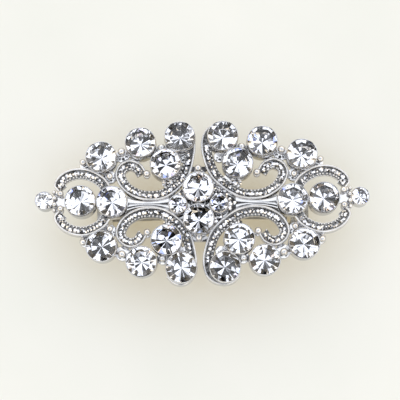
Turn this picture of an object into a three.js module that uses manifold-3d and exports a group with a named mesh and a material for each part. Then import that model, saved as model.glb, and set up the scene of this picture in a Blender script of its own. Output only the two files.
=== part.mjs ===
// Rhinestone hair clip: a bowed, rhodium-plated filigree casting set with foiled chatons and pave chips,
// riveted to the top plate of a 50 mm French barrette.
//
// Millimetres, +Z up. X runs along the clip, Y across it. The origin is the centre of the resting plane,
// under the closed clasp. "Left" and "right" are -X and +X, "upper" and "lower" are +Y and -Y.
//
// Four mirrored scroll channels, two pairs of C channels, the stone cups and the ball ornaments are one
// casting. The centre cluster is a casting of its own. The clasp arm swings on a pin at the left end and is
// held at the right end by two spring prongs, and a bowed tension bar presses the hair on to the arm.

import * as THREE from "three";
import { mergeVertices } from "three/addons/utils/BufferGeometryUtils.js";
import Module from "manifold-3d";

const wasm = await Module();
wasm.setup();

// ---- Driving dimensions -------------------------------------------------------------------------

const BACK_Z = 11.5; // the casting's back face at the middle of the clip
const CASTING_BOW = 420; // radius of the casting's lengthwise curve, ends down
const PLAN_BOW = 520; // radius of its slight curve in plan, ends towards +Y
const PLATE_BOW = 150; // radius of the barrette plate's curve
const FACETS = 12; // sides of a stone and of its cup
const FIT = 0.05; // gap between a piece and what it is set in
const DETAIL = 0.05; // smallest feature kept where solids cross
const CURVE_STEPS = 22; // straight pieces in a long bent outline
const BEYOND = 20; // how far a cutter reaches past what it cuts

// A stone's radius, its table's radius, crown height, half girdle and pavilion depth; its cup's wall, the
// hole in its floor, and the height of the girdle above the casting's back.
const LARGE = {
  radius: 3.35, table: 1.95, crown: 1.1, girdle: 0.1, pavilion: 2.9, wall: 0.22, hole: 1.15, height: 4,
};
const SMALL = {
  radius: 1.95, table: 1.1, crown: 0.65, girdle: 0.08, pavilion: 1.7, wall: 0.2, hole: 0.7, height: 3,
};
const CUP_LIP = 0.15; // how far a cup's wall stands above its stone's girdle
const CUP_FLOOR = 0.35;

const RIM = { outer: -0.35, inner: 0.25, top: 2.0 }; // the polished wire along a channel's outer side
const CHANNEL = { floor: 1.1, edge: 2.05 }; // the bed that carries the pave chips
const PAVE = { from: 0.35, to: 1.9, height: 0.55, shoulder: 0.33 }; // section of a row of chips

// Stones of one quarter of the clip: x, y and how far the stone leans away from the long axis.
const QUARTER_STONES = {
  edge_outer: [22.6, 10.1, 4],
  edge_middle: [13.7, 13.4, 5],
  edge_inner: [4.85, 14.8, 5],
  scroll: [8.1, 8.65, 2],
};
const AXIS_STONES = { ring: 27.3, junction: 20.25 };
const END_STONE_X = 35.55;

// The centre cluster is soldered a little off centre, and the scrolls lean with it where they meet it.
const CLUSTER = {
  x: -0.85, y: -0.5, lift: 0.5, large: 3.68, small: 4.6, floorTop: 2.2, floorLong: 5.8, floorShort: 5.68,
};
const LEAN_REACH = 7;

// A channel of one quarter: its rim, how much higher it stands than the scrolls, the steps of its sweep, and
// between which shares of the rim's length its chips are set. A scroll's rim hugs the inner edge stone from
// its outer side, then runs down the gap, round the loop and to the curl under its ball.
const SCROLL = {
  rim: [
    [8, 16.75], [6.7, 18.05], [4.85, 18.55], [3, 18.05], [1.6, 16.65], [0.95, 14], [1.2, 11], [2.6, 6.6],
    [5.1, 3.7], [8.6, 1.5], [11.9, 1.05], [15, 1.6], [18, 3.6], [19.4, 6.7], [18.6, 8.8], [16.3, 9.9],
    [14.1, 9.1], [12.9, 7.4],
  ],
  lift: 0,
  steps: 28,
  pave: { start: 0.28, end: 0.985, steps: 34 },
};
// A C channel's rim runs from its tip beside the end stone, over the ring stone, to the junction stone.
const RING = {
  rim: [
    [32.3, 2.3], [33.3, 3.6], [32.8, 5.1], [31.2, 6.6], [29, 7.45], [26.4, 7.5], [23.9, 6.6], [22.1, 5.3],
    [21, 3.7],
  ],
  lift: 0.9,
  steps: 12,
  pave: { start: 0.08, end: 0.93, steps: 15 },
};

// Ball ornaments of one quarter: x, y, height of the centre, radius.
const QUARTER_BALLS = [
  [12.5, 6.8, 2.5, 0.85], [20.9, 6.1, 2.6, 0.8], [18.2, 11.9, 2.6, 0.95], [9.1, 12.9, 2.6, 0.9],
  [27, 9.3, 2.4, 0.85], [32.1, 1.75, 2.9, 0.8], [33.5, 0.75, 2.6, 0.6], [33.6, 2.1, 2.6, 0.5],
];
// Thin webs that tie the cups, channels and balls of one quarter together: x, y, radius.
const QUARTER_WEBS = [
  [12.5, 6.9, 0.9], [20.9, 6.3, 1.7], [18.1, 11.4, 1.9], [9, 12.5, 1.6], [26.6, 8.9, 1.4], [32.6, 1.7, 1.3],
  [6.9, 5.3, 2.4], [4.1, 11, 1.5], [15.2, 10.3, 1.2],
];
// Undersides are stepped so that no two solids of the casting share a plane: the channels' is at 0.
const WEB = { bottom: 0.15, top: 1.05 };
const POST_FOOT = 0.6; // height at which a ball's post starts, inside its web
const CENTRE_BALL = { y: 8.1, z: 2.3, radius: 0.8 };
const CENTRE_LINK = { halfLength: 1.9, halfWidth: 0.6 }; // carries a centre ball between two scrolls
const CENTRE_FLOOR = { long: 8.6, short: 8, bottom: 0.05, top: 0.4 }; // the diamond under the cluster

const BAR = { from: 7.6, to: 17.4, waist: 0.7, flare: 1.7, bottom: 0.1, top: 1.5 }; // web between two scrolls
const NECK = { from: 30.8, to: 34.4, halfWidth: 1, bottom: 0.1, top: 1.7 }; // ties a ring cup to an end cup

const RIVET = {
  x: 12.4, shank: 0.55, head: 1.2, headHeight: 0.5, headEdge: 0.15, depth: 0.8, boss: 1.4, bossHeight: 1,
};

const PLATE = { left: -24, right: 23, width: 5.2, thickness: 0.7, corner: 1.2 };
const OVERLAP = 0.2; // how far a wall runs up into the plate
const EAR = { left: -24, right: -20.6, inner: 2, thickness: 0.6, foot: 2.2, chamfer: 1.2 };
const PIN_HEAD = 0.3; // thickness of the heads of the cross pins
const HINGE = { x: -22.3, z: 1.6, pin: 0.6, knuckle: 1.15, headRadius: 0.95 };
const ANCHOR = { x: -21.7, z: 7.95, pin: 0.35, curl: 0.75, headRadius: 0.6 };
const TENSION = { right: 18.6, width: 3, thickness: 0.3, leftZ: 8.55, rightZ: 7.75, sag: 0.35, corner: 0.9 };
const ARM = { width: 3, thickness: 0.7, endZ: 1.45, rise: 1.4, halfSpan: 20, tip: 24.6 };
const LOOP = { neck: 16.2, from: 18.2, shoulder: 18.6, halfWidth: 3.3, corner: 0.8 }; // the arm's wide end
const WINDOW = { from: 19.6, to: 22.8, halfWidth: 2.35 };
const LIP_FROM = 23.5;
const PRONG = {
  from: 20.4, to: 22, inner: 1.5, outer: 2, top: 9, foot: 0, barbTop: 0.95, barbReach: 2.25, barbEdge: 0.1,
  wingTop: 5.4, wingRoot: 4.4, wingFoot: 3.5, wingReach: 4.5, wingEdge: 0.5,
};
const SADDLE = { from: 20, to: 22.6, inner: 2.1, outer: 2.6, foot: 7.6 };

const MATERIALS = {
  rhodium: new THREE.MeshStandardMaterial({ color: 0xd3d3d6, roughness: 0.16, metalness: 1 }),
  crystal: new THREE.MeshStandardMaterial({ color: 0xeef2f6, roughness: 0.03, metalness: 0.1 }),
  nickel: new THREE.MeshStandardMaterial({ color: 0xb4b2ad, roughness: 0.32, metalness: 1 }),
  spring: new THREE.MeshStandardMaterial({ color: 0x9c9a96, roughness: 0.28, metalness: 1 }),
};

// ---- Solids ---------------------------------------------------------------------------------------

// A closed three.js geometry as a manifold-3d solid.
function solid(geometry, matrix = new THREE.Matrix4()) {
  const bare = new THREE.BufferGeometry().setAttribute("position", geometry.getAttribute("position").clone());
  if (geometry.index) bare.setIndex(geometry.index);
  const merged = mergeVertices(bare.applyMatrix4(matrix), 1e-4);
  return new wasm.Manifold(
    new wasm.Mesh({
      numProp: 3,
      vertProperties: merged.getAttribute("position").array,
      triVerts: new Uint32Array(merged.index.array),
    }),
  );
}

// A manifold-3d solid as a three.js geometry.
function geometryOf(made) {
  const mesh = made.getMesh();
  const geometry = new THREE.BufferGeometry();
  geometry.setAttribute("position", new THREE.BufferAttribute(new Float32Array(mesh.vertProperties), 3));
  geometry.setIndex(new THREE.BufferAttribute(new Uint32Array(mesh.triVerts), 1));
  geometry.computeVertexNormals();
  return geometry;
}

const joined = (solids) => solids.reduce((all, next) => all.add(next));

function box(x0, x1, y0, y1, z0, z1) {
  const block = new THREE.BoxGeometry(x1 - x0, y1 - y0, z1 - z0);
  return block.translate((x0 + x1) / 2, (y0 + y1) / 2, (z0 + z1) / 2);
}

// A lathe about Z from a list of [radius, height] points.
function lathe(profile, sides = FACETS) {
  const points = profile.map(([r, z]) => new THREE.Vector2(r, z));
  return new THREE.LatheGeometry(points, sides).rotateX(Math.PI / 2);
}

function cylinderAlongY(radius, y0, y1, x, z, sides = 20) {
  return new THREE.CylinderGeometry(radius, radius, y1 - y0, sides).translate(x, (y0 + y1) / 2, z);
}

// An outline in the XY plane, extruded from z0 to z1.
function planExtrusion(shape, z0, z1) {
  const settings = { depth: z1 - z0, bevelEnabled: false, curveSegments: 8 };
  return new THREE.ExtrudeGeometry(shape, settings).translate(0, 0, z0);
}

// An outline in the XZ plane, extruded from y0 to y1.
function sideExtrusion(shape, y0, y1) {
  const settings = { depth: y1 - y0, bevelEnabled: false, curveSegments: 8 };
  return new THREE.ExtrudeGeometry(shape, settings).rotateX(Math.PI / 2).translate(0, y1, 0);
}

// ---- The casting's curve ----------------------------------------------------------------------------

const castingDrop = (x) => -(x * x) / (2 * CASTING_BOW);
// None at the widest place, the inner edge stones, so that the clip stays centred on the long axis.
const planShift = (x) => (x * x - QUARTER_STONES.edge_inner[0] ** 2) / (2 * PLAN_BOW);

// Bends a flat geometry on to the casting's two curves.
function bowed(geometry) {
  const position = geometry.getAttribute("position");
  for (let i = 0; i < position.count; i += 1) {
    const x = position.getX(i);
    position.setY(i, position.getY(i) + planShift(x));
    position.setZ(i, position.getZ(i) + castingDrop(x));
  }
  return geometry;
}

// Where a stone or cup sits: at x, y on the casting, square to its curve, leaning outwards by some degrees.
function seat(x, y, lean = 0, lift = 0) {
  const outwards = -Math.sign(y) * THREE.MathUtils.degToRad(lean);
  const turn = new THREE.Euler(outwards, Math.asin(x / CASTING_BOW), 0, "YXZ");
  const matrix = new THREE.Matrix4().makeRotationFromEuler(turn);
  return matrix.setPosition(x, y + planShift(x), castingDrop(x) + lift);
}

// The sideways lean of the scrolls towards the cluster, none beyond LEAN_REACH.
const leanAt = (x) => CLUSTER.x * Math.max(0, 1 - Math.abs(x) / LEAN_REACH);

// A rim's curve in one quarter, sx and sy being the signs of x and y there.
function rimCurve(points, sx, sy) {
  const placed = points.map(([x, y]) => new THREE.Vector3(sx * x + leanAt(x), sy * y, 0));
  if (sx * sy < 0) placed.reverse(); // keeps the channel on the left of the direction of travel
  return new THREE.CatmullRomCurve3(placed, false, "centripetal");
}

// A part of a curve as points for another curve.
function stretch(curve, start, end, count) {
  const points = [];
  for (let i = 0; i <= count; i += 1) points.push(curve.getPointAt(start + ((end - start) * i) / count));
  return new THREE.CatmullRomCurve3(points, false, "centripetal");
}

// Sweeps a section along a flat curve. Section points are [to the left of travel, height].
function swept(section, curve, steps) {
  const shape = new THREE.Shape(section.map(([left, z]) => new THREE.Vector2(-z, left)));
  return new THREE.ExtrudeGeometry(shape, { steps, extrudePath: curve, bevelEnabled: false });
}

// ---- Stones and their cups ------------------------------------------------------------------------

// A chaton: flat table, crown, thin girdle and a pavilion that ends in a point. Its girdle is at z = height.
function chaton(size) {
  const top = size.height + size.girdle;
  const bottom = size.height - size.girdle;
  return lathe([
    [0, bottom - size.pavilion],
    [size.radius, bottom],
    [size.radius, top],
    [size.table, top + size.crown],
    [0, top + size.crown],
  ]);
}

// The cup that holds a chaton, before the stone's room is cut out of it.
function cup(size, floor = CUP_FLOOR) {
  const outer = size.radius + FIT + size.wall;
  return lathe([[0, floor], [outer, floor], [outer, size.height + CUP_LIP], [0, size.height + CUP_LIP]]);
}

// The room that a whole cup takes, grown all round by some margin.
function cupRoom(size, bottom, margin) {
  const radius = size.radius + size.wall + margin;
  return lathe([[0, bottom], [radius, bottom], [radius, BEYOND], [0, BEYOND]]);
}

// The room that a stone takes with its fit, open to the front, and the hole in its cup's floor.
function stoneRoom(size) {
  const inner = size.radius + FIT;
  const step = size.height - size.girdle - FIT;
  return lathe([
    [0, -BEYOND],
    [size.hole, -BEYOND],
    [size.hole, step - (size.pavilion * (inner - size.hole)) / size.radius],
    [inner, step],
    [inner, BEYOND],
    [0, BEYOND],
  ]);
}

// ---- The filigree casting ---------------------------------------------------------------------------

const CHANNEL_SECTION = [
  [RIM.outer, 0],
  [CHANNEL.edge, 0],
  [CHANNEL.edge, CHANNEL.floor],
  [RIM.inner, CHANNEL.floor],
  [RIM.inner, RIM.top],
  [RIM.outer, RIM.top],
];

function channel(kind, sx, sy) {
  const section = CHANNEL_SECTION.map(([left, z]) => [left, z + kind.lift]);
  return solid(bowed(swept(section, rimCurve(kind.rim, sx, sy), kind.steps)));
}

function ball(x, y, z, radius) {
  return solid(bowed(new THREE.SphereGeometry(radius, 8, 4).rotateX(Math.PI / 2).translate(x, y, z)));
}

// A ball on the post that carries it up from a web.
function postedBall(x, y, z, radius) {
  const shank = 0.7 * radius;
  const post = new THREE.CylinderGeometry(shank, shank, z - POST_FOOT, 6).rotateX(Math.PI / 2);
  return ball(x, y, z, radius).add(solid(bowed(post.translate(x, y, (z + POST_FOOT) / 2))));
}

function web(x, y, radius) {
  const disc = new THREE.CylinderGeometry(radius, radius, WEB.top - WEB.bottom, 6).rotateX(Math.PI / 2);
  return solid(bowed(disc.translate(x, y, (WEB.top + WEB.bottom) / 2)));
}

// The waisted bar between an upper and a lower scroll.
function centreBar(side) {
  const middle = (BAR.from + BAR.to) / 2;
  const outline = new THREE.Shape();
  outline.moveTo(BAR.from, -BAR.flare);
  outline.quadraticCurveTo(middle, -(2 * BAR.waist - BAR.flare), BAR.to, -BAR.flare);
  outline.lineTo(BAR.to, BAR.flare);
  outline.quadraticCurveTo(middle, 2 * BAR.waist - BAR.flare, BAR.from, BAR.flare);
  const bar = planExtrusion(outline, BAR.bottom, BAR.top);
  return solid(bowed(side < 0 ? bar.rotateZ(Math.PI) : bar));
}

// The place of a rivet: square to the barrette's plate, which it clamps.
function rivetSeat(side) {
  const x = side * RIVET.x;
  return new THREE.Matrix4()
    .makeRotationY(Math.asin(x / PLATE_BOW))
    .setPosition(x, 0, plateUnderside(x) - BACK_Z);
}

function rivetHole(side, bottom, top) {
  const bore = new THREE.CylinderGeometry(RIVET.shank + FIT, RIVET.shank + FIT, top - bottom, 16);
  return bore.rotateX(Math.PI / 2).translate(0, 0, (top + bottom) / 2).applyMatrix4(rivetSeat(side));
}

function castingSolid() {
  const pieces = [];
  for (const sx of [1, -1]) {
    for (const sy of [1, -1]) {
      pieces.push(channel(SCROLL, sx, sy), channel(RING, sx, sy));
      for (const [x, y, lean] of Object.values(QUARTER_STONES)) {
        pieces.push(solid(cup(LARGE), seat(sx * x, sy * y, lean)));
      }
      for (const [x, y, z, radius] of QUARTER_BALLS) pieces.push(postedBall(sx * x, sy * y, z, radius));
      for (const [x, y, radius] of QUARTER_WEBS) pieces.push(web(sx * x, sy * y, radius));
    }
    for (const x of Object.values(AXIS_STONES)) pieces.push(solid(cup(LARGE), seat(sx * x, 0)));
    pieces.push(solid(cup(SMALL, 0.6), seat(sx * END_STONE_X, 0)));
    pieces.push(centreBar(sx));
    const [near, far] = [sx * NECK.from, sx * NECK.to].sort((a, b) => a - b);
    pieces.push(solid(bowed(box(near, far, -NECK.halfWidth, NECK.halfWidth, NECK.bottom, NECK.top))));
    const boss = new THREE.CylinderGeometry(RIVET.boss, RIVET.boss, RIVET.bossHeight, 12);
    boss.rotateX(Math.PI / 2).translate(0, 0, PLATE.thickness + FIT + RIVET.bossHeight / 2);
    pieces.push(solid(boss, rivetSeat(sx)));
  }
  pieces.push(solid(diamond(CENTRE_FLOOR.long, CENTRE_FLOOR.short, CENTRE_FLOOR.bottom, CENTRE_FLOOR.top)));
  for (const sy of [1, -1]) {
    const { halfLength, halfWidth } = CENTRE_LINK;
    const link = box(-halfLength, halfLength, -halfWidth, halfWidth, WEB.bottom, WEB.top);
    pieces.push(solid(bowed(link.translate(CLUSTER.x, sy * CENTRE_BALL.y, 0))));
    pieces.push(postedBall(CLUSTER.x, sy * CENTRE_BALL.y, CENTRE_BALL.z, CENTRE_BALL.radius));
  }
  let casting = joined(pieces);
  // The channels and webs must not run into a stone or its seat.
  for (const { size, matrix } of frameStones()) casting = casting.subtract(solid(stoneRoom(size), matrix));
  const holeTop = PLATE.thickness + RIVET.depth + 2 * FIT;
  for (const side of [1, -1]) casting = casting.subtract(solid(rivetHole(side, 0, holeTop)));
  return casting.subtract(clusterRoom()).simplify(DETAIL);
}

// Every stone of the frame casting: its name, size and place.
function frameStones() {
  const stones = [];
  for (const [sx, side] of [[-1, "left"], [1, "right"]]) {
    for (const [name, x] of Object.entries(AXIS_STONES)) {
      stones.push({ name: `stone_${name}_${side}`, size: LARGE, matrix: seat(sx * x, 0) });
    }
    stones.push({ name: `stone_end_${side}`, size: SMALL, matrix: seat(sx * END_STONE_X, 0) });
    for (const [sy, level] of [[1, "upper"], [-1, "lower"]]) {
      for (const [name, [x, y, lean]] of Object.entries(QUARTER_STONES)) {
        const matrix = seat(sx * x, sy * y, lean);
        stones.push({ name: `stone_${name}_${level}_${side}`, size: LARGE, matrix });
      }
    }
  }
  return stones;
}

// ---- The centre cluster ---------------------------------------------------------------------------

const CLUSTER_SETS = [
  { name: "stone_centre_upper", size: LARGE, x: 0, y: CLUSTER.large },
  { name: "stone_centre_lower", size: LARGE, x: 0, y: -CLUSTER.large },
  { name: "stone_centre_left", size: SMALL, x: -CLUSTER.small, y: 0 },
  { name: "stone_centre_right", size: SMALL, x: CLUSTER.small, y: 0 },
];

const clusterSeat = ({ x, y }) => seat(CLUSTER.x + x, CLUSTER.y + y, 0, CLUSTER.lift);

// A diamond-shaped slab.
function diamond(halfLength, halfWidth, bottom, top) {
  const outline = new THREE.Shape([
    new THREE.Vector2(-halfLength, 0),
    new THREE.Vector2(0, -halfWidth),
    new THREE.Vector2(halfLength, 0),
    new THREE.Vector2(0, halfWidth),
  ]);
  return planExtrusion(outline, bottom, top);
}

// The floor that joins the cluster's four cups, grown by some margin.
function clusterFloor(bottom, top, margin) {
  const floor = diamond(CLUSTER.floorLong + margin, CLUSTER.floorShort + margin, bottom, top);
  return floor.translate(CLUSTER.x, CLUSTER.y, 0);
}

function clusterSolid() {
  const parts = CLUSTER_SETS.map((set) => solid(cup(set.size, 0), clusterSeat(set)));
  let setting = joined([...parts, solid(clusterFloor(CLUSTER.lift, CLUSTER.floorTop, 0))]);
  for (const set of CLUSTER_SETS) setting = setting.subtract(solid(stoneRoom(set.size), clusterSeat(set)));
  return setting;
}

// The room that the cluster takes out of the frame casting.
function clusterRoom() {
  const rooms = CLUSTER_SETS.map((set) => solid(cupRoom(set.size, -2 * FIT, 2 * FIT), clusterSeat(set)));
  return joined([...rooms, solid(clusterFloor(CLUSTER.lift - 2 * FIT, BEYOND, FIT))]);
}

// ---- Pave rows ------------------------------------------------------------------------------------

// One row of chips in their adhesive, as the strip that fills its channel in a casting.
function paveRow(casting, kind, sx, sy) {
  const { pave, lift } = kind;
  const [start, end] = sx * sy < 0 ? [1 - pave.end, 1 - pave.start] : [pave.start, pave.end];
  const curve = stretch(rimCurve(kind.rim, sx, sy), start, end, pave.steps);
  const bottom = CHANNEL.floor + FIT + lift;
  const section = [
    [PAVE.from, bottom],
    [PAVE.to, bottom],
    [PAVE.to, bottom + PAVE.shoulder],
    [(PAVE.from + PAVE.to) / 2, bottom + PAVE.height],
    [PAVE.from, bottom + PAVE.shoulder],
  ];
  let strip = solid(bowed(swept(section, curve, pave.steps)));
  for (const { size, matrix } of frameStones()) {
    strip = strip.subtract(solid(cupRoom(size, -BEYOND, 3 * FIT), matrix));
  }
  for (const [x, y, z, radius] of QUARTER_BALLS) {
    strip = strip.subtract(ball(sx * x, sy * y, z, radius + 2 * FIT));
  }
  return geometryOf(largest(strip.subtract(clusterRoom()).subtract(casting)));
}

// The largest body of a solid, which drops the slivers that a cut leaves.
function largest(made) {
  return made.decompose().reduce((best, next) => (next.volume() > best.volume() ? next : best));
}

// ---- The barrette -----------------------------------------------------------------------------------

const plateUnderside = (x) => BACK_Z - FIT - PLATE.thickness - (x * x) / (2 * PLATE_BOW);

// An outline between two heights over a stretch of x, both given by formulas.
function ribbon(left, right, low, high, count) {
  const points = [];
  for (let i = 0; i <= count; i += 1) {
    const x = left + ((right - left) * i) / count;
    points.push(new THREE.Vector2(x, low(x)));
  }
  for (let i = count; i >= 0; i -= 1) {
    const x = left + ((right - left) * i) / count;
    points.push(new THREE.Vector2(x, high(x)));
  }
  return new THREE.Shape(points);
}

// A rectangle with rounded corners in plan.
function roundedPlan(x0, x1, halfWidth, radius) {
  const outline = new THREE.Shape();
  outline.moveTo(x0 + radius, -halfWidth);
  outline.lineTo(x1 - radius, -halfWidth);
  outline.absarc(x1 - radius, -halfWidth + radius, radius, -Math.PI / 2, 0);
  outline.absarc(x1 - radius, halfWidth - radius, radius, 0, Math.PI / 2);
  outline.absarc(x0 + radius, halfWidth - radius, radius, Math.PI / 2, Math.PI);
  outline.absarc(x0 + radius, -halfWidth + radius, radius, Math.PI, (3 * Math.PI) / 2);
  return outline;
}

// One ear of the hinge end, hanging from the plate down to the resting plane.
function ear(side) {
  const middle = (EAR.left + EAR.right) / 2;
  const top = plateUnderside(EAR.left) + OVERLAP;
  const outline = new THREE.Shape([
    new THREE.Vector2(middle - EAR.foot / 2, 0),
    new THREE.Vector2(middle + EAR.foot / 2, 0),
    new THREE.Vector2(EAR.right, EAR.chamfer),
    new THREE.Vector2(EAR.right, top),
    new THREE.Vector2(EAR.left, top),
    new THREE.Vector2(EAR.left, EAR.chamfer),
  ]);
  const [near, far] = [side * EAR.inner, side * (EAR.inner + EAR.thickness)].sort((a, b) => a - b);
  return solid(sideExtrusion(outline, near, far));
}

// The plate with its hinge ears and the short saddle walls that guard the prongs' roots.
function basePlate() {
  const upperside = (x) => plateUnderside(x) + PLATE.thickness;
  const halfWidth = PLATE.width / 2;
  const bent = ribbon(PLATE.left, PLATE.right, plateUnderside, upperside, CURVE_STEPS);
  const outline = roundedPlan(PLATE.left, PLATE.right, halfWidth, PLATE.corner);
  const strip = solid(sideExtrusion(bent, -halfWidth, halfWidth));
  let plate = strip.intersect(solid(planExtrusion(outline, 0, BEYOND)));
  const saddleTop = plateUnderside(SADDLE.to) + OVERLAP;
  for (const side of [1, -1]) {
    const [near, far] = [side * SADDLE.inner, side * SADDLE.outer].sort((a, b) => a - b);
    plate = plate.add(ear(side)).add(solid(box(SADDLE.from, SADDLE.to, near, far, SADDLE.foot, saddleTop)));
    plate = plate.subtract(solid(rivetHole(side, -1, PLATE.thickness + 1)).translate(0, 0, BACK_Z));
  }
  for (const { x, z, pin } of [HINGE, ANCHOR]) {
    plate = plate.subtract(solid(cylinderAlongY(pin + FIT, -BEYOND, BEYOND, x, z)));
  }
  return geometryOf(plate);
}

// A headed pin across the ears.
function crossPin({ x, z, pin, headRadius }) {
  const reach = EAR.inner + EAR.thickness + FIT;
  const shank = solid(cylinderAlongY(pin, -reach - OVERLAP, reach + OVERLAP, x, z));
  const heads = [1, -1].map((side) => {
    const [near, far] = [side * reach, side * (reach + PIN_HEAD)].sort((a, b) => a - b);
    return solid(cylinderAlongY(headRadius, near, far, x, z));
  });
  return geometryOf(joined([shank, ...heads]));
}

const armMiddle = (x) => {
  const share = Math.min(1, Math.abs(x) / ARM.halfSpan);
  return ARM.endZ + ARM.rise * (1 - share * share);
};

// The arm's plan: a narrow strip that widens into the loop with the latch window.
function armPlan() {
  const half = ARM.width / 2;
  const outline = new THREE.Shape();
  outline.moveTo(HINGE.x, -half);
  outline.lineTo(LOOP.neck, -half);
  outline.quadraticCurveTo(LOOP.from, -half, LOOP.shoulder, -LOOP.halfWidth);
  outline.lineTo(ARM.tip - LOOP.corner, -LOOP.halfWidth);
  outline.quadraticCurveTo(ARM.tip, -LOOP.halfWidth, ARM.tip, -LOOP.halfWidth + LOOP.corner);
  outline.lineTo(ARM.tip, LOOP.halfWidth - LOOP.corner);
  outline.quadraticCurveTo(ARM.tip, LOOP.halfWidth, ARM.tip - LOOP.corner, LOOP.halfWidth);
  outline.lineTo(LOOP.shoulder, LOOP.halfWidth);
  outline.quadraticCurveTo(LOOP.from, half, LOOP.neck, half);
  outline.lineTo(HINGE.x, half);
  return outline;
}

function claspArm() {
  const half = ARM.thickness / 2;
  const low = (x) => armMiddle(x) - half;
  const high = (x) => armMiddle(x) + half;
  const strip = solid(sideExtrusion(ribbon(HINGE.x, ARM.tip, low, high, CURVE_STEPS), -BEYOND, BEYOND));
  const lip = solid(box(LIP_FROM, ARM.tip, -BEYOND, BEYOND, 0, ARM.endZ + half));
  let arm = strip.add(lip).intersect(solid(planExtrusion(armPlan(), -BEYOND, BEYOND)));
  const { from, to, halfWidth } = WINDOW;
  arm = arm.subtract(solid(box(from, to, -halfWidth, halfWidth, -BEYOND, BEYOND)));
  const knuckleHalf = EAR.inner - 2 * FIT;
  arm = arm.add(solid(cylinderAlongY(HINGE.knuckle, -knuckleHalf, knuckleHalf, HINGE.x, HINGE.z)));
  return geometryOf(arm.subtract(solid(cylinderAlongY(HINGE.pin + FIT, -BEYOND, BEYOND, HINGE.x, HINGE.z))));
}

// The bowed leaf that presses the hair, curled round the anchor pin at its left end.
function tensionBar() {
  const middle = (x) => {
    const share = (x - ANCHOR.x) / (TENSION.right - ANCHOR.x);
    return TENSION.leftZ + (TENSION.rightZ - TENSION.leftZ) * share - 4 * TENSION.sag * share * (1 - share);
  };
  const half = TENSION.thickness / 2;
  const halfWidth = TENSION.width / 2;
  const low = (x) => middle(x) - half;
  const high = (x) => middle(x) + half;
  const outline = ribbon(ANCHOR.x, TENSION.right, low, high, CURVE_STEPS);
  const leaf = solid(sideExtrusion(outline, -halfWidth, halfWidth));
  const rounded = roundedPlan(ANCHOR.x - TENSION.width, TENSION.right, halfWidth, TENSION.corner);
  const curl = solid(cylinderAlongY(ANCHOR.curl, -halfWidth, halfWidth, ANCHOR.x, ANCHOR.z));
  const bore = solid(cylinderAlongY(ANCHOR.pin + FIT, -BEYOND, BEYOND, ANCHOR.x, ANCHOR.z));
  return geometryOf(leaf.intersect(solid(planExtrusion(rounded, 0, BEYOND))).add(curl).subtract(bore));
}

// A spring prong: a strip that hangs from the plate, with a finger wing outside and a barb at its foot.
function latchProng(side) {
  const points = [
    [PRONG.inner, PRONG.foot],
    [PRONG.outer, PRONG.foot],
    [PRONG.barbReach, PRONG.barbTop - PRONG.barbEdge],
    [PRONG.barbReach, PRONG.barbTop],
    [PRONG.outer, PRONG.barbTop],
    [PRONG.outer, PRONG.wingRoot],
    [PRONG.wingReach - PRONG.wingEdge, PRONG.wingFoot],
    [PRONG.wingReach, PRONG.wingFoot],
    [PRONG.wingReach, PRONG.wingFoot + PRONG.wingEdge],
    [PRONG.outer, PRONG.wingTop],
    [PRONG.outer, PRONG.top],
    [PRONG.inner, PRONG.top],
  ];
  const outline = new THREE.Shape(points.map(([y, z]) => new THREE.Vector2(y, z)));
  const strip = new THREE.ExtrudeGeometry(outline, { depth: PRONG.to - PRONG.from, bevelEnabled: false });
  // The outline's x becomes y, its y becomes z, and the extrusion runs along x.
  strip.applyMatrix4(new THREE.Matrix4().set(0, 0, 1, 0, 1, 0, 0, 0, 0, 1, 0, 0, 0, 0, 0, 1));
  strip.translate(PRONG.from, 0, 0);
  const upper = solid(strip);
  if (side > 0) return geometryOf(upper);
  return geometryOf(upper.mirror([0, 1, 0]));
}

function rivet() {
  const reach = PLATE.thickness + RIVET.depth;
  return lathe(
    [
      [0, -RIVET.headHeight - FIT],
      [RIVET.head * 0.65, -RIVET.headHeight - FIT],
      [RIVET.head, -RIVET.headEdge - FIT],
      [RIVET.head, -FIT],
      [RIVET.shank, -FIT],
      [RIVET.shank, reach],
      [0, reach],
    ],
    16,
  );
}

// ---- Assembly ---------------------------------------------------------------------------------------

const clip = new THREE.Group();
const ornament = new THREE.Group();
ornament.position.z = BACK_Z;
clip.add(ornament);

function place(parent, name, geometry, material, matrix) {
  const mesh = new THREE.Mesh(geometry, material);
  mesh.name = name;
  if (matrix) matrix.decompose(mesh.position, mesh.quaternion, mesh.scale);
  parent.add(mesh);
  return mesh;
}

const casting = castingSolid();
place(ornament, "filigree_casting", geometryOf(casting), MATERIALS.rhodium);
place(ornament, "centre_cluster_setting", geometryOf(clusterSolid()), MATERIALS.rhodium);

for (const { name, size, matrix } of frameStones()) {
  place(ornament, name, chaton(size), MATERIALS.crystal, matrix);
}
for (const set of CLUSTER_SETS) {
  place(ornament, set.name, chaton(set.size), MATERIALS.crystal, clusterSeat(set));
}

for (const [sx, side] of [[-1, "left"], [1, "right"]]) {
  for (const [sy, level] of [[1, "upper"], [-1, "lower"]]) {
    place(ornament, `pave_scroll_${level}_${side}`, paveRow(casting, SCROLL, sx, sy), MATERIALS.crystal);
    place(ornament, `pave_ring_${level}_${side}`, paveRow(casting, RING, sx, sy), MATERIALS.crystal);
  }
  place(ornament, `plate_rivet_${side}`, rivet(), MATERIALS.nickel, rivetSeat(sx));
}

place(clip, "barrette_plate", basePlate(), MATERIALS.nickel);
place(clip, "hinge_pin", crossPin(HINGE), MATERIALS.nickel);
place(clip, "tension_anchor_pin", crossPin(ANCHOR), MATERIALS.nickel);
place(clip, "clasp_arm", claspArm(), MATERIALS.nickel);
place(clip, "tension_bar", tensionBar(), MATERIALS.spring);
place(clip, "latch_prong_upper", latchProng(1), MATERIALS.spring);
place(clip, "latch_prong_lower", latchProng(-1), MATERIALS.spring);

export default clip;
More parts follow.
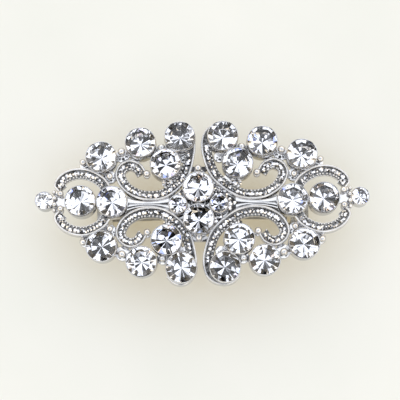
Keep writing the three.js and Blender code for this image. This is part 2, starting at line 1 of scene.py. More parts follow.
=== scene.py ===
"""Looks of the rhinestone hair clip: polished channels, cut stones, pave chips and a nickel barrette back.

Everything is in metres in the CAD frame: X along the clip, Y across it, Z up. MM turns millimetres into
metres. The casting is laid out flat in millimetres, as in the CAD part, and on_casting() lets it down on to
its bow.
"""

import math
import random

import bmesh
import bpy
from mathutils import Matrix, Vector


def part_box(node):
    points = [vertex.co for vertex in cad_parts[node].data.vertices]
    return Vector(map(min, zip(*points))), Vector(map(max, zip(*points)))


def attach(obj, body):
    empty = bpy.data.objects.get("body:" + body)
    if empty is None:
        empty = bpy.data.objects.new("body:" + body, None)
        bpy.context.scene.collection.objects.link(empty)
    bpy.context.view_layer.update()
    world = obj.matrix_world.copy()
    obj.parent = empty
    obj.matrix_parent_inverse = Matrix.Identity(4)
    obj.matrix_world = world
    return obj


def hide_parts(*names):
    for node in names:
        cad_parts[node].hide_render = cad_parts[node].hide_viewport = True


MM = 0.001
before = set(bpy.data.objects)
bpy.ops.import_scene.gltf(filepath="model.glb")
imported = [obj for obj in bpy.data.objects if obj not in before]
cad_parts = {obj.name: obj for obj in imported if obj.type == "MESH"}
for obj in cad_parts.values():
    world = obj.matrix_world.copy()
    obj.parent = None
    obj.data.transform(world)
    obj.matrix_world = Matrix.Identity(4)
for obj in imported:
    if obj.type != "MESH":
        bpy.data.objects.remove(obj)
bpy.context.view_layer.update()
ROOT = "ornament_and_plate"
STONES = sorted(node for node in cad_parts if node.startswith("stone_"))
UP = Vector((0, 0, 1))
LOOKS_UP = 0.9  # a face whose normal stands higher than this looks up

# ---- Driving dimensions, in millimetres --------------------------------------------------------------

FIT = 0.05
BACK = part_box("barrette_plate")[1][2] / MM + FIT  # the casting's back face at the middle of the clip
CASTING_BOW = 420  # radius of the casting's lengthwise curve, ends down
PLAN_BOW = 520  # radius of its slight curve in plan, none at WIDEST_X
WIDEST_X = 4.85
CLUSTER_X = -0.85  # the centre cluster is off centre, and the scrolls lean with it within LEAN_REACH
LEAN_REACH = 7

# One quarter's channel rims and how much higher each kind stands.
SCROLL_RIM = [
    (8, 16.75), (6.7, 18.05), (4.85, 18.55), (3, 18.05), (1.6, 16.65), (0.95, 14), (1.2, 11), (2.6, 6.6),
    (5.1, 3.7), (8.6, 1.5), (11.9, 1.05), (15, 1.6), (18, 3.6), (19.4, 6.7), (18.6, 8.8), (16.3, 9.9),
    (14.1, 9.1), (12.9, 7.4),
]
RING_RIM = [
    (32.3, 2.3), (33.3, 3.6), (32.8, 5.1), (31.2, 6.6), (29, 7.45), (26.4, 7.5), (23.9, 6.6), (22.1, 5.3),
    (21, 3.7),
]
CHANNELS = {"scroll": (SCROLL_RIM, 0.0), "ring": (RING_RIM, 0.9)}

# A channel's section, as offsets into it from the rim's line and heights over the casting's back face.
RIM_OUTER, RIM_INNER, RIM_TOP = -0.33, 0.17, 2.0
CHANNEL_FLOOR, CHANNEL_EDGE = 1.1, 2.05
TRAY_STEP = 0.1  # the tray reaches this far under the rim and past the bed, and stays this far below its top
CHIP_RADIUS, CHIP_OFFSET, CHIP_PITCH = 0.6, 0.88, 1.02
BEAD_RADIUS, BEAD_OFFSET = 0.25, 1.74
CHIP_RISE = 0.35  # how far the chips' girdles and the beads' centres lie over the channel's floor
CHIP_SIZES = (0.75, 1.05)  # shares of CHIP_RADIUS
CHIP_DRIFT = 0.08  # how far a chip strays to either side of its row
CHIP_CLEARANCE, BEAD_CLEARANCE = 0.5, 0.25  # from a stone's edge

# The cup round a stone, with its lip's heights from the middle of the girdle.
CUP_WALL = 0.22
CUP_DEPTH = 0.6  # below the culet
LIP_OUTSIDE, LIP_CREST, LIP_INSIDE, LIP_WIDTH = 0.04, 0.16, 0.12, 0.08
CUP_SEAT = 0.2  # below the girdle, where the bore starts to narrow
CUP_HOLE, CUP_CONE = 0.35, 0.8  # radius and depth where it stops, as shares of the stone's own

# One quarter's ball ornaments (x, y, height of the centre, radius) and the webs under them (x, y, radius).
QUARTER_BALLS = [
    (12.5, 6.8, 2.5, 0.8), (20.9, 6.1, 2.6, 0.75), (18.2, 11.9, 2.6, 0.9), (9.1, 12.9, 2.6, 0.85),
    (27, 9.3, 2.4, 0.8), (32.1, 1.75, 2.9, 0.75), (33.5, 0.75, 2.6, 0.58), (33.6, 2.1, 2.6, 0.48),
]
QUARTER_WEBS = [
    (12.5, 6.9, 0.9), (20.9, 6.3, 1.7), (18.1, 11.4, 1.9), (9, 12.5, 1.6), (26.6, 8.9, 1.4), (32.6, 1.7, 1.3),
    (6.9, 5.3, 2.4), (4.1, 11, 1.5), (15.2, 10.3, 1.2),
]
WEB_CHIPS = [(6.9, 5.0), (7.7, 4.7), (8.5, 4.55)]  # chips beside a scroll's row, near its stone
WEB_CHIP_SIZES = (0.85, 1.0)
WEB_BOTTOM, WEB_TOP = 0.15, 1.05
WEB_SHARE = 0.91  # a round web takes about the area of the hexagon that stands for it in the CAD
CENTRE_BALL = (8.1, 2.3, 0.8)  # y, height of the centre, radius
CENTRE_LINK = (1.9, 0.6)  # half length and half width of the web under it
POST_SHARE, POST_FOOT = 0.7, 0.5  # a post's radius as a share of its ball's, and the height of its foot
CENTRE_FLOOR = (8.6, 8, 0.4)  # half length, half width and height of the diamond under the cluster
CENTRE_CHIPS = (0.55, 1.05)  # radius and pitch of the chips that fill it
CENTRE_CHIP_SIZES = (0.85, 1.06)
CENTRE_CHIP_RISE = 0.9
CENTRE_CHIP_CLEARANCE = 0.55
CENTRE_POST = (0.5, 0.8)  # the post under such a chip: share of the chip's radius, and height
CENTRE_FILL = 0.93  # the share of the diamond that the chips may cover, by its diagonals

BAR_FROM, BAR_TO, BAR_WAIST, BAR_FLARE = 7.6, 17.4, 0.7, 1.7
BAR_BOTTOM, BAR_TOP, BAR_CROWN = 0.1, 1.5, 0.3
NECK_FROM, NECK_TO, NECK_HALF_WIDTH, NECK_TOP = 30.8, 34.4, 1.0, 1.7
BOSS_X, BOSS_RADIUS, BOSS_BOTTOM, BOSS_TOP = 12.4, 1.4, -0.2, BAR_TOP * 0.6
SOFT_EDGE = 0.06  # width of the barrette's softened edges
SOFT_ANGLE = 35  # and the turn in degrees from which an edge is softened

QUARTERS = [(sx, sy) for sx in (1, -1) for sy in (1, -1)]
LEVEL = {1: "upper", -1: "lower"}
SIDE = {1: "right", -1: "left"}


# ---- Small tools -----------------------------------------------------------------------------------


def on_casting(x, y, z):
    """A point of the casting's flat layout, in metres in the CAD frame."""
    plan_shift = (x * x - WIDEST_X**2) / (2 * PLAN_BOW)
    return Vector((x, y + plan_shift, BACK + z - x * x / (2 * CASTING_BOW))) * MM


def turns(count, phase=0.0):
    """Angles evenly round a circle."""
    return [2 * math.pi * (i + phase) / count for i in range(count)]


def circle(radius, height, count, phase=0.0):
    return [Vector((radius * math.cos(t), radius * math.sin(t), height)) for t in turns(count, phase)]


def tube(loops, close_ends=True):
    """(vertices, faces) of equal loops joined one after another."""
    count = len(loops[0])
    vertices = [v for loop in loops for v in loop]
    faces = []
    for row in range(0, (len(loops) - 1) * count, count):
        for i in range(count):
            j = (i + 1) % count
            faces.append((row + i, row + j, row + count + j, row + count + i))
    if close_ends:
        faces.append(tuple(range(count)))
        faces.append(tuple((len(loops) - 1) * count + i for i in range(count)))
    return vertices, faces


class Solid:
    """Collects vertices and faces, and becomes one piece."""

    def __init__(self):
        self.vertices = []
        self.faces = []

    def add(self, vertices, faces):
        start = len(self.vertices)
        self.vertices += vertices
        self.faces += [tuple(start + i for i in face) for face in faces]

    def build(self, name, material, smooth_angle, replaced, slot):
        """The piece on the clip's root body, smooth below an angle in degrees, or faceted with none."""
        mesh = bpy.data.meshes.new(name)
        mesh.from_pydata(self.vertices, [], self.faces)
        outwards = bmesh.new()
        outwards.from_mesh(mesh)
        bmesh.ops.recalc_face_normals(outwards, faces=outwards.faces)
        outwards.to_mesh(mesh)
        outwards.free()
        if smooth_angle:
            mesh.shade_smooth()
            mesh.set_sharp_from_angle(angle=math.radians(smooth_angle))
        return add_piece(name, mesh, [material], replaced)


def add_piece(name, mesh, materials, replaced):
    for material in materials:
        mesh.materials.append(material)
    piece = bpy.data.objects.new(name, mesh)
    bpy.context.scene.collection.objects.link(piece)
    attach(piece, ROOT)
    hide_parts(replaced)
    return mesh


def catmull_rom(points, steps):
    """A centripetal Catmull-Rom curve through flat points, with some steps between neighbours."""
    ends = [2 * Vector(points[0]) - Vector(points[1]), 2 * Vector(points[-1]) - Vector(points[-2])]
    padded = [ends[0], *(Vector(p) for p in points), ends[1]]
    samples = []
    for p0, p1, p2, p3 in zip(padded, padded[1:], padded[2:], padded[3:]):
        t1 = (p1 - p0).length ** 0.5
        t2 = t1 + (p2 - p1).length ** 0.5
        t3 = t2 + (p3 - p2).length ** 0.5
        for step in range(steps):
            t = t1 + (t2 - t1) * step / steps
            a1 = p0.lerp(p1, t / t1)
            a2 = p1.lerp(p2, (t - t1) / (t2 - t1))
            a3 = p2.lerp(p3, (t - t2) / (t3 - t2))
            samples.append(a1.lerp(a2, t / t2).lerp(a2.lerp(a3, (t - t1) / (t3 - t1)), (t - t1) / (t2 - t1)))
    samples.append(padded[-2])
    return samples


class Track:
    """A channel's rim in one quarter, as even samples with the direction into the channel."""

    SPACING = 0.3

    def __init__(self, points, sx, sy):
        leaning = [(sx * x + CLUSTER_X * max(0, 1 - x / LEAN_REACH), sy * y) for x, y in points]
        self.inward = sx * sy
        fine = catmull_rom(leaning, 24)
        self.samples = [fine[0]]
        travelled = 0.0
        for a, b in zip(fine, fine[1:]):
            travelled += (b - a).length
            if travelled >= self.SPACING:
                self.samples.append(b)
                travelled -= self.SPACING
        self.length = self.SPACING * (len(self.samples) - 1)

    def into(self, i):
        """The unit vector into the channel at sample i."""
        before = self.samples[max(0, i - 1)]
        after = self.samples[min(len(self.samples) - 1, i + 1)]
        along = (after - before).normalized()
        return Vector((-along.y, along.x)) * self.inward

    def at(self, distance, offset):
        """The flat point at a distance along the rim and an offset into the channel."""
        i = min(len(self.samples) - 1, round(distance / self.SPACING))
        return self.samples[i] + self.into(i) * offset

    def sweep(self, section, lift):
        """A section of (offset, height) points carried along the whole rim."""
        loops = []
        for i, sample in enumerate(self.samples):
            loops.append([on_casting(*(sample + self.into(i) * offset), z + lift) for offset, z in section])
        return tube(loops)


def rectangle(left, right, bottom, top):
    return [(left, bottom), (right, bottom), (right, top), (left, top)]


def round_topped(left, right, bottom, top, steps=8):
    """A section with a half-round top."""
    radius = (right - left) / 2
    middle = (left + right) / 2
    crest = []
    for i in range(steps + 1):
        turn = math.pi * i / steps
        crest.append((middle + radius * math.cos(turn), top - radius + radius * math.sin(turn)))
    return [(left, bottom), (right, bottom), *crest]


def ball(x, y, z, radius, segments=20, rows=12):
    centre = on_casting(x, y, z)
    loops = []
    for row in range(1, rows):
        polar = math.pi * row / rows
        ring = circle(radius * MM * math.sin(polar), radius * MM * math.cos(polar), segments)
        loops.append([centre + point for point in ring])
    return tube(loops)


def disc(x, y, radius, bottom, top, sides=28, softening=0.12):
    """A low disc with a softened upper edge."""
    loops = []
    for r, z in ((radius, bottom), (radius, top - softening), (radius - softening, top)):
        loops.append([on_casting(x + p.x, y + p.y, z) for p in circle(r, 0, sides)])
    return tube(loops)


def slab(outline, bottom, top):
    """A flat slab over an outline."""
    return tube([[on_casting(x, y, z) for x, y in outline] for z in (bottom, top)])


# ---- Materials -------------------------------------------------------------------------------------

PLATING_DEPTH = 0.03 * MM  # how deep the plating's unevenness goes


def new_material(name):
    material = bpy.data.materials.new(name)
    material.use_nodes = True
    nodes = material.node_tree.nodes
    return material, nodes, material.node_tree.links, nodes["Principled BSDF"]


def noise(nodes, links, scale, detail=3.0, stretch=(1, 1, 1)):
    """A noise texture in object space, stretched where an axis is scaled down."""
    coordinates = nodes.new("ShaderNodeTexCoord")
    mapping = nodes.new("ShaderNodeMapping")
    mapping.inputs["Scale"].default_value = stretch
    texture = nodes.new("ShaderNodeTexNoise")
    texture.inputs["Scale"].default_value = scale
    texture.inputs["Detail"].default_value = detail
    links.new(coordinates.outputs["Object"], mapping.inputs["Vector"])
    links.new(mapping.outputs["Vector"], texture.inputs["Vector"])
    return texture.outputs["Fac"]


def ramp(nodes, links, value, low, high, from_low=0.3, from_high=0.7):
    """Maps a value on to a range of numbers."""
    node = nodes.new("ShaderNodeMapRange")
    node.inputs["From Min"].default_value = from_low
    node.inputs["From Max"].default_value = from_high
    node.inputs["To Min"].default_value = low
    node.inputs["To Max"].default_value = high
    links.new(value, node.inputs["Value"])
    return node.outputs["Result"]


def two_colours(nodes, links, value, first, second):
    """A colour between two, by a value."""
    node = nodes.new("ShaderNodeMix")
    node.data_type = "RGBA"
    node.inputs["A"].default_value = (*first, 1)
    node.inputs["B"].default_value = (*second, 1)
    links.new(value, node.inputs["Factor"])
    return node.outputs["Result"]


def bump(nodes, links, shader, height, strength, distance):
    node = nodes.new("ShaderNodeBump")
    node.inputs["Strength"].default_value = strength
    node.inputs["Distance"].default_value = distance
    links.new(height, node.inputs["Height"])
    links.new(node.outputs["Normal"], shader.inputs["Normal"])


def plated(name, dark, light, roughness, scale, relief=0.1, stretch=(1, 1, 1)):
    """A plated metal: tone and roughness wander a little, and the surface is not quite flat."""
    material, nodes, links, shader = new_material(name)
    shader.inputs["Metallic"].default_value = 1.0
    field = noise(nodes, links, scale, 4, stretch)
    tone = ramp(nodes, links, field, 0, 1)
    links.new(two_colours(nodes, links, tone, dark, light), shader.inputs["Base Color"])
    links.new(ramp(nodes, links, field, *roughness), shader.inputs["Roughness"])
    bump(nodes, links, shader, field, relief, PLATING_DEPTH)
    return material


def dulled(nodes, links, shader, field, dull):
    """Colours a shader by the painted light stored on each facet, dulled here and there."""
    stored = nodes.new("ShaderNodeAttribute")
    stored.attribute_name = "facet"
    mix = nodes.new("ShaderNodeMix")
    mix.data_type = "RGBA"
    mix.blend_type = "MULTIPLY"
    mix.inputs["B"].default_value = (*dull, 1)
    links.new(stored.outputs["Color"], mix.inputs["A"])
    links.new(ramp(nodes, links, field, 0, 1), mix.inputs["Factor"])
    links.new(mix.outputs["Result"], shader.inputs["Base Color"])


def clear_glass(name):
    """The clear crown of a chaton, with a few facets tinted as painted flashes of split light."""
    material, nodes, links, shader = new_material(name)
    shader.inputs["Transmission Weight"].default_value = 1.0
    shader.inputs["IOR"].default_value = 1.58
    field = noise(nodes, links, 700)
    dulled(nodes, links, shader, field, (0.97, 0.98, 1.0))
    links.new(ramp(nodes, links, field, 0.0, 0.02), shader.inputs["Roughness"])
    return material


def faceted_mirror(name, dull, scale):
    """Silvered facets, each tinted by its own stored painted reflection."""
    material, nodes, links, shader = new_material(name)
    shader.inputs["Metallic"].default_value = 1.0
    field = noise(nodes, links, scale)
    dulled(nodes, links, shader, field, dull)
    links.new(ramp(nodes, links, field, 0.01, 0.05), shader.inputs["Roughness"])
    return material


RHODIUM = plated("rhodium", (0.56, 0.56, 0.57), (0.7, 0.7, 0.71), (0.06, 0.16), 500)
# The channel bed's dark greys are painted shade, down in the channel under and between the chips.
SHADED_BED = plated("channel_bed", (0.07, 0.07, 0.07), (0.34, 0.34, 0.34), (0.15, 0.35), 1300, 0.7)
NICKEL = plated("nickel", (0.62, 0.61, 0.59), (0.74, 0.73, 0.71), (0.22, 0.36), 900, 0.15, (0.06, 1, 1))
SPRING = plated("spring", (0.5, 0.5, 0.5), (0.66, 0.65, 0.64), (0.2, 0.34), 900, 0.15, (0.04, 1, 1))
GLASS = clear_glass("crystal_glass")
FOIL = faceted_mirror("crystal_foil", (0.94, 0.95, 0.97), 900)
CHIP = faceted_mirror("pave_chip", (0.8, 0.81, 0.84), 1500)


# ---- Stones ----------------------------------------------------------------------------------------

# A stone's cut, for a girdle of radius 1.
TABLE, CROWN_ANGLE, HALF_GIRDLE, PAVILION_ANGLE = 0.7, 32, 0.03, 41
PAVILION = HALF_GIRDLE + math.tan(math.radians(PAVILION_ANGLE))
TABLE_SIZES = (0.94, 1.06)  # shares of TABLE
PAVILION_FACETS = (8, 12)
GIRDLE_FACETS = 16
STONE_LEAN = 0.022  # spread of the stones' tilts
TABLE_NORMAL = 0.95  # a facet whose normal stands higher than this is the table
FOILED_NORMAL = -0.15  # and one whose normal points lower than this is silvered

# The silvered facets' painted reflections: dark and bright greys that stand in for the dark openings and the
# white tent they would mirror. Only every second facet of a gem may be dark. The facet across from such a one
# may be dark too, so that they show as wedges.
DARK_REFLECTION = (0.02, 0.12)
BRIGHT_REFLECTION = (0.9, 1.0)
DARK_REFLECTION_SHARES = (0.0, 0.25)
# Painted colour flashes: the share of crown facets tinted as if split light fell on them, and their tints.
FLASH_SHARE = 0.05
FLASHES = [(0.2, 0.28, 0.95), (0.45, 0.6, 1.0), (1.0, 0.7, 0.5), (0.85, 0.7, 1.0)]
# The pave chips' painted reflections: dark and bright greys, and the share of facets that are dark.
CHIP_DARK_REFLECTION = (0.05, 0.35)
CHIP_BRIGHT_REFLECTION = (0.85, 1.0)
CHIP_DARK_REFLECTION_SHARE = 0.28


def painted_reflection_grey(rng, dark_share, dark, bright):
    """A painted reflection: a dark or bright grey."""
    grey = rng.uniform(*(dark if rng.random() < dark_share else bright))
    return grey, grey, grey * 1.02


def gem_mesh(name, place, rng):
    """A chaton: octagonal table, crown and girdle of clear glass over the silvered facets of its back."""
    table = TABLE * rng.uniform(*TABLE_SIZES)
    crown = HALF_GIRDLE + (1 - table) * math.tan(math.radians(CROWN_ANGLE))
    facets = rng.choice(PAVILION_FACETS)
    made = bmesh.new()
    for corner in (
        *circle(table / math.cos(math.pi / 8), crown, 8, 0.5),
        *circle(1, HALF_GIRDLE, GIRDLE_FACETS),
        *circle(1, -HALF_GIRDLE, facets),
        Vector((0, 0, -PAVILION)),
    ):
        made.verts.new(corner)
    bmesh.ops.convex_hull(made, input=made.verts)
    bmesh.ops.dissolve_limit(made, angle_limit=math.radians(0.5), verts=made.verts, edges=made.edges)
    layer = made.loops.layers.float_color.new("facet")
    for face in made.faces:
        middle = face.calc_center_median()
        foiled = face.normal.z < FOILED_NORMAL
        colour = (1, 1, 1)
        # A silvered facet gets a painted reflection, dark or bright; a few crown facets get a painted colour
        # flash.
        if foiled:
            nth = math.floor(math.atan2(middle.y, middle.x) / (2 * math.pi) * facets)
            colour = painted_reflection_grey(rng, DARK_REFLECTION_SHARES[nth % 2], DARK_REFLECTION, BRIGHT_REFLECTION)
        elif face.normal.z < TABLE_NORMAL and rng.random() < FLASH_SHARE:
            colour = rng.choice(FLASHES)
        face.material_index = int(foiled)
        for corner in face.loops:
            corner[layer] = (*colour, 1)
    bmesh.ops.transform(made, matrix=place, verts=made.verts)
    mesh = bpy.data.meshes.new(name)
    made.to_mesh(mesh)
    made.free()
    return mesh


def stone_place(node):
    """(culet, axis, radius) of a CAD stone: its lowest point, its table's normal and its girdle's radius."""
    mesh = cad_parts[node].data
    culet = min((v.co.copy() for v in mesh.vertices), key=lambda co: co.z)
    axis = max((f for f in mesh.polygons if f.normal.z > LOOKS_UP), key=lambda f: f.area).normal.copy()
    radius = max((v.co - culet - axis * (v.co - culet).dot(axis)).length for v in mesh.vertices)
    return culet, axis, radius


def build_stones():
    rng = random.Random(7)
    for node in STONES:
        culet, axis, radius = stone_place(node)
        tilted = axis + Vector((rng.gauss(0, STONE_LEAN), rng.gauss(0, STONE_LEAN), 0))
        turn = UP.rotation_difference(tilted.normalized()).to_matrix().to_4x4()
        spin = Matrix.Rotation(rng.uniform(0, 2 * math.pi), 4, "Z")
        place = Matrix.Translation(culet + axis * PAVILION * radius) @ turn @ spin @ Matrix.Scale(radius, 4)
        name = node.replace("stone", "gem")
        add_piece(name, gem_mesh(name, place, rng), [GLASS, FOIL], node)


def cup(culet, axis, radius, sides=40):
    """A thin cup round a stone, open in front, with its sharp lip a little above the girdle."""
    turn = UP.rotation_difference(axis).to_matrix()
    girdle = culet + axis * PAVILION * radius
    floor = -PAVILION * radius - CUP_DEPTH * MM
    hole = CUP_HOLE * radius
    outer = radius + CUP_WALL * MM
    inner = radius + FIT * MM
    profile = [
        (hole, floor), (outer, floor),
        (outer, LIP_OUTSIDE * MM), (inner + LIP_WIDTH * MM, LIP_CREST * MM), (inner, LIP_INSIDE * MM),
        (inner, -CUP_SEAT * MM), (hole, -PAVILION * radius * CUP_CONE), (hole, floor),
    ]
    return tube([[girdle + turn @ p for p in circle(r, h, sides)] for r, h in profile], close_ends=False)


def build_cups():
    frame_cups, cluster_cups = Solid(), Solid()
    for node in STONES:
        cups = cluster_cups if "centre" in node else frame_cups
        cups.add(*cup(*stone_place(node)))
    frame_cups.build("casting_cups", RHODIUM, 40, "filigree_casting", "rhodium_casting")
    cluster_cups.build("cluster_cups", RHODIUM, 40, "centre_cluster_setting", "rhodium_casting")


# ---- Channels ---------------------------------------------------------------------------------------

CHIP_LEAN = 0.26  # spread of the chips' tilts
CHIP_PROFILE = ((0.4, -0.55), (1.0, 0.0), (0.45, 0.5))  # radius and height, for a girdle of radius 1


def chip(centre, radius, rng):
    """A small cut stone: eight crown facets and a small table, turned and tilted a little."""
    lean = Vector((rng.gauss(0, CHIP_LEAN), rng.gauss(0, CHIP_LEAN), 1)).normalized()
    turn = UP.rotation_difference(lean).to_matrix()
    phase = rng.uniform(0, 1)
    loops = []
    for r, z in CHIP_PROFILE:
        loops.append([centre + turn @ point * radius * MM for point in circle(r, z, 8, phase)])
    return tube(loops)


def paint_chip_reflections(mesh, rng):
    """Paints every facet of a mesh of chips with its own painted reflection, a dark or bright grey."""
    layer = mesh.color_attributes.new("facet", "FLOAT_COLOR", "CORNER")
    for face in mesh.polygons:
        colour = painted_reflection_grey(rng, CHIP_DARK_REFLECTION_SHARE, CHIP_DARK_REFLECTION, CHIP_BRIGHT_REFLECTION)
        for corner in face.loop_indices:
            layer.data[corner].color = (*colour, 1)


def clear_of_stones(point, places, margin):
    """Whether a flat point is some millimetres away from every stone's edge."""
    spot = on_casting(*point, 0).xy
    return all((spot - culet.xy).length > radius + margin * MM for culet, _, radius in places)


def build_channels():
    rims, beds, beads = Solid(), Solid(), Solid()
    rng = random.Random(3)
    places = [stone_place(node) for node in STONES]
    tray = rectangle(RIM_INNER - TRAY_STEP, CHANNEL_EDGE, 0, CHANNEL_FLOOR - TRAY_STEP)
    bed = rectangle(RIM_INNER, CHANNEL_EDGE - TRAY_STEP, CHANNEL_FLOOR / 2, CHANNEL_FLOOR)
    for sx, sy in QUARTERS:
        for kind, (points, lift) in CHANNELS.items():
            track = Track(points, sx, sy)
            rims.add(*track.sweep(round_topped(RIM_OUTER, RIM_INNER, 0, RIM_TOP), lift))
            rims.add(*track.sweep(tray, lift))
            beds.add(*track.sweep(bed, lift))
            chips = Solid()
            count = int(track.length / CHIP_PITCH)
            for i in range(count):
                spot = track.at((i + 0.5) * CHIP_PITCH, CHIP_OFFSET + rng.uniform(-CHIP_DRIFT, CHIP_DRIFT))
                if clear_of_stones(spot, places, CHIP_CLEARANCE):
                    centre = on_casting(*spot, CHANNEL_FLOOR + CHIP_RISE + lift)
                    chips.add(*chip(centre, CHIP_RADIUS * rng.uniform(*CHIP_SIZES), rng))
                edge = track.at((i + 1) * CHIP_PITCH, BEAD_OFFSET)
                if clear_of_stones(edge, places, BEAD_CLEARANCE):
                    beads.add(*ball(*edge, CHANNEL_FLOOR + CHIP_RISE + lift, BEAD_RADIUS, 12, 8))
            row = f"{kind}_{LEVEL[sy]}_{SIDE[sx]}"
            mesh = chips.build(f"chips_{row}", CHIP, None, f"pave_{row}", "pave_chips")
            paint_chip_reflections(mesh, rng)
    build_casting_chips(rng, places)
    rims.build("casting_rims", RHODIUM, 50, "filigree_casting", "rhodium_casting")
    beds.build("casting_beds", SHADED_BED, 30, "filigree_casting", "rhodium_casting")
    beads.build("casting_beads", RHODIUM, 80, "filigree_casting", "rhodium_casting")


def build_casting_chips(rng, places):
    """Chips in a square grid over the diamond floor, where the stones leave room, and on the scroll webs."""
    long, wide, height = CENTRE_FLOOR
    radius, pitch = CENTRE_CHIPS
    post_share, post_height = CENTRE_POST
    chips = Solid()
    reach = int(long / pitch)
    for column in range(-reach, reach + 1):
        for row in range(-reach, reach + 1):
            x, y = column * pitch, row * pitch
            inside = abs(x) / long + abs(y) / wide < CENTRE_FILL
            if inside and clear_of_stones((x, y), places, CENTRE_CHIP_CLEARANCE):
                centre = on_casting(x, y, height + CENTRE_CHIP_RISE)
                chips.add(*chip(centre, radius * rng.uniform(*CENTRE_CHIP_SIZES), rng))
                chips.add(*disc(x, y, radius * post_share, height, height + post_height, 8))
    for sx, sy in QUARTERS:
        for x, y in WEB_CHIPS:
            centre = on_casting(sx * x, sy * y, CHANNEL_FLOOR + CHIP_RISE)
            chips.add(*chip(centre, radius * rng.uniform(*WEB_CHIP_SIZES), rng))
    mesh = chips.build("casting_chips", CHIP, None, "filigree_casting", "pave_chips")
    paint_chip_reflections(mesh, rng)


# ---- Ornaments and webs -------------------------------------------------------------------------------


def posted_ball(x, y, z, radius):
    """A ball and the post that carries it, as two (vertices, faces)."""
    return ball(x, y, z, radius), disc(x, y, radius * POST_SHARE, POST_FOOT, z, 16)


def centre_bar(side, steps=24):
    """The waisted bar between an upper and a lower scroll, gently crowned."""
    loops = []
    for i in range(steps + 1):
        share = i / steps
        x = side * (BAR_FROM + (BAR_TO - BAR_FROM) * share)
        half = BAR_WAIST + (BAR_FLARE - BAR_WAIST) * (2 * share - 1) ** 2
        section = [(-half, BAR_BOTTOM), (half, BAR_BOTTOM)]
        for k in range(9):
            turn = math.pi * k / 8
            section.append((half * math.cos(turn), BAR_TOP - BAR_CROWN + BAR_CROWN * math.sin(turn)))
        loops.append([on_casting(x, y, z) for y, z in section])
    return tube(loops)


def build_ornaments():
    balls, webs = Solid(), Solid()
    for sx, sy in QUARTERS:
        for x, y, z, radius in QUARTER_BALLS:
            for part in posted_ball(sx * x, sy * y, z, radius):
                balls.add(*part)
        for x, y, radius in QUARTER_WEBS:
            webs.add(*disc(sx * x, sy * y, radius * WEB_SHARE, WEB_BOTTOM, WEB_TOP))
    for sy in (1, -1):
        y, z, radius = CENTRE_BALL
        for part in posted_ball(CLUSTER_X, sy * y, z, radius):
            balls.add(*part)
        long, wide = CENTRE_LINK
        link = rectangle(CLUSTER_X - long, CLUSTER_X + long, sy * y - wide, sy * y + wide)
        webs.add(*slab(link, WEB_BOTTOM, WEB_TOP))
    for sx in (1, -1):
        webs.add(*centre_bar(sx))
        webs.add(*disc(sx * BOSS_X, 0, BOSS_RADIUS, BOSS_BOTTOM, BOSS_TOP))
        neck = rectangle(sx * NECK_FROM, sx * NECK_TO, -NECK_HALF_WIDTH, NECK_HALF_WIDTH)
        webs.add(*slab(neck, WEB_BOTTOM, NECK_TOP))
    long, wide, height = CENTRE_FLOOR
    webs.add(*slab([(-long, 0), (0, -wide), (long, 0), (0, wide)], WEB_BOTTOM, height))
    balls.build("casting_balls", RHODIUM, 50, "filigree_casting", "rhodium_casting")
    webs.build("casting_webs", RHODIUM, 50, "filigree_casting", "rhodium_casting")


# ---- Barrette ---------------------------------------------------------------------------------------

BARRETTE = {
    NICKEL: [
        "barrette_plate", "clasp_arm", "hinge_pin", "tension_anchor_pin",
        "plate_rivet_left", "plate_rivet_right",
    ],
    SPRING: ["tension_bar", "latch_prong_upper", "latch_prong_lower"],
}


def finish_barrette():
    """The barrette keeps its CAD solids, with softened edges."""
    for material, nodes in BARRETTE.items():
        for node in nodes:
            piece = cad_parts[node]
            piece.data.materials.clear()
            piece.data.materials.append(material)
            bevel = piece.modifiers.new("soft_edges", "BEVEL")
            bevel.width = SOFT_EDGE * MM
            bevel.segments = 2
            bevel.limit_method = "ANGLE"
            bevel.angle_limit = math.radians(SOFT_ANGLE)


# ---- Stage ------------------------------------------------------------------------------------------

# The cloth's two tones, and the warm light scattered inside it, which fills its shadows.
CLOTH = ((0.44, 0.505, 0.565), (0.468, 0.527, 0.591))
CLOTH_GLOW = (0.27, 0.2, 0.09)

# The tent, by a direction's height on a globe of radius 1: it brightens through HEM and cools through WARMTH.
TENT_STRENGTH, HEM_STRENGTH, GAP_STRENGTH = 1.75, 0.1, 0.04
TENT_COLOURS = ((1.0, 0.88, 0.69), (0.955, 0.985, 1.035))
HEM = (0.04, 0.2)
WARMTH = (0.45, 0.7)

# The camera looks down from this elevation on the -Y side. The tent is dark round it, low on its side, and in
# small openings in a ring about it. The stones' facets throw the ring back to the camera as dark wedges.
CAMERA_ELEVATION = math.radians(77)
TO_CAMERA = Vector((0, -math.cos(CAMERA_ELEVATION), math.sin(CAMERA_ELEVATION)))
RING_RADIUS = math.radians(26)
RING_TURNS = (90, 38, 142, -15, 195)
RING_GAP = (6, 9)  # inner and outer angle of each opening in the ring
WIDE_GAPS = [(TO_CAMERA, 10, 13), (Vector((0, -0.97, 0.24)), 13, 18)]


def stage_floor():
    half = 3.0
    mesh = bpy.data.meshes.new("floor")
    corners = [(x, y, 0) for x, y in rectangle(-half, half, -half, half)]
    mesh.from_pydata(corners, [], [(0, 1, 2, 3)])
    material, nodes, links, shader = new_material("pale_floor")
    tone = ramp(nodes, links, noise(nodes, links, 30), 0, 1)
    links.new(two_colours(nodes, links, tone, *CLOTH), shader.inputs["Base Color"])
    shader.inputs["Roughness"].default_value = 0.9
    shader.inputs["Emission Color"].default_value = (*CLOTH_GLOW, 1)
    shader.inputs["Emission Strength"].default_value = 1.0
    mesh.materials.append(material)
    floor = bpy.data.objects.new("floor", mesh)
    bpy.context.scene.collection.objects.link(floor)


def gap(nodes, links, ray, direction, inner, outer):
    """1 all round a direction and almost 0 inside it, between two angles from it in degrees."""
    towards = nodes.new("ShaderNodeVectorMath")
    towards.operation = "DOT_PRODUCT"
    towards.inputs[1].default_value = direction.normalized()
    links.new(ray, towards.inputs[0])
    edge = [math.cos(math.radians(angle)) for angle in (outer, inner)]
    return ramp(nodes, links, towards.outputs["Value"], 1, GAP_STRENGTH, *edge)


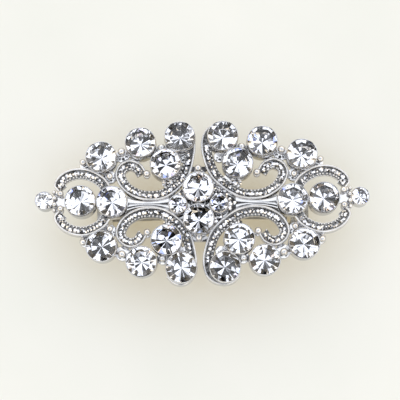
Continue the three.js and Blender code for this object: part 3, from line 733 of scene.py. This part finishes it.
def product(nodes, links, first, second):
    node = nodes.new("ShaderNodeMath")
    node.operation = "MULTIPLY"
    links.new(first, node.inputs[0])
    links.new(second, node.inputs[1])
    return node.outputs["Value"]


def light():
    """A white tent, warm low down and dark at its hem, with a few dark openings."""
    world = bpy.data.worlds.new("tent")
    bpy.context.scene.world = world
    world.use_nodes = True
    nodes, links = world.node_tree.nodes, world.node_tree.links
    background = nodes["Background"]
    ray = nodes.new("ShaderNodeTexCoord").outputs["Generated"]
    parts = nodes.new("ShaderNodeSeparateXYZ")
    links.new(ray, parts.inputs["Vector"])
    height = parts.outputs["Z"]
    coolness = ramp(nodes, links, height, 0, 1, *WARMTH)
    links.new(two_colours(nodes, links, coolness, *TENT_COLOURS), background.inputs["Color"])
    strength = ramp(nodes, links, height, HEM_STRENGTH, TENT_STRENGTH, *HEM)
    ring = []
    for turn in RING_TURNS:
        aside = Vector((1, 0, 0)) * math.cos(math.radians(turn))
        beyond = TO_CAMERA.cross(Vector((1, 0, 0))) * math.sin(math.radians(turn))
        middle = TO_CAMERA * math.cos(RING_RADIUS) + (aside + beyond) * math.sin(RING_RADIUS)
        ring.append((middle, *RING_GAP))
    for direction, inner, outer in WIDE_GAPS + ring:
        strength = product(nodes, links, strength, gap(nodes, links, ray, direction, inner, outer))
    links.new(strength, background.inputs["Strength"])
    bpy.context.scene.view_settings.view_transform = "Standard"


def camera():
    """Almost straight above, from the -Y side, with a long lens."""
    distance = 0.42
    frame_width = 90.2 * MM
    roll = math.radians(0.85)
    lens = bpy.data.cameras.new("camera")
    lens.lens = lens.sensor_width * distance / frame_width
    left, up, height = 0.5, 0.45, 3  # the middle of the view, from the middle of the casting's back face
    target = Vector((-left, up, BACK + height)) * MM
    turn = (-TO_CAMERA).to_track_quat("-Z", "Y").to_matrix().to_4x4() @ Matrix.Rotation(-roll, 4, "Z")
    eye = bpy.data.objects.new("camera", lens)
    eye.matrix_world = Matrix.Translation(target + TO_CAMERA * distance) @ turn
    bpy.context.scene.collection.objects.link(eye)
    bpy.context.scene.camera = eye


build_stones()
build_cups()
build_channels()
build_ornaments()
finish_barrette()
stage_floor()
light()
camera()
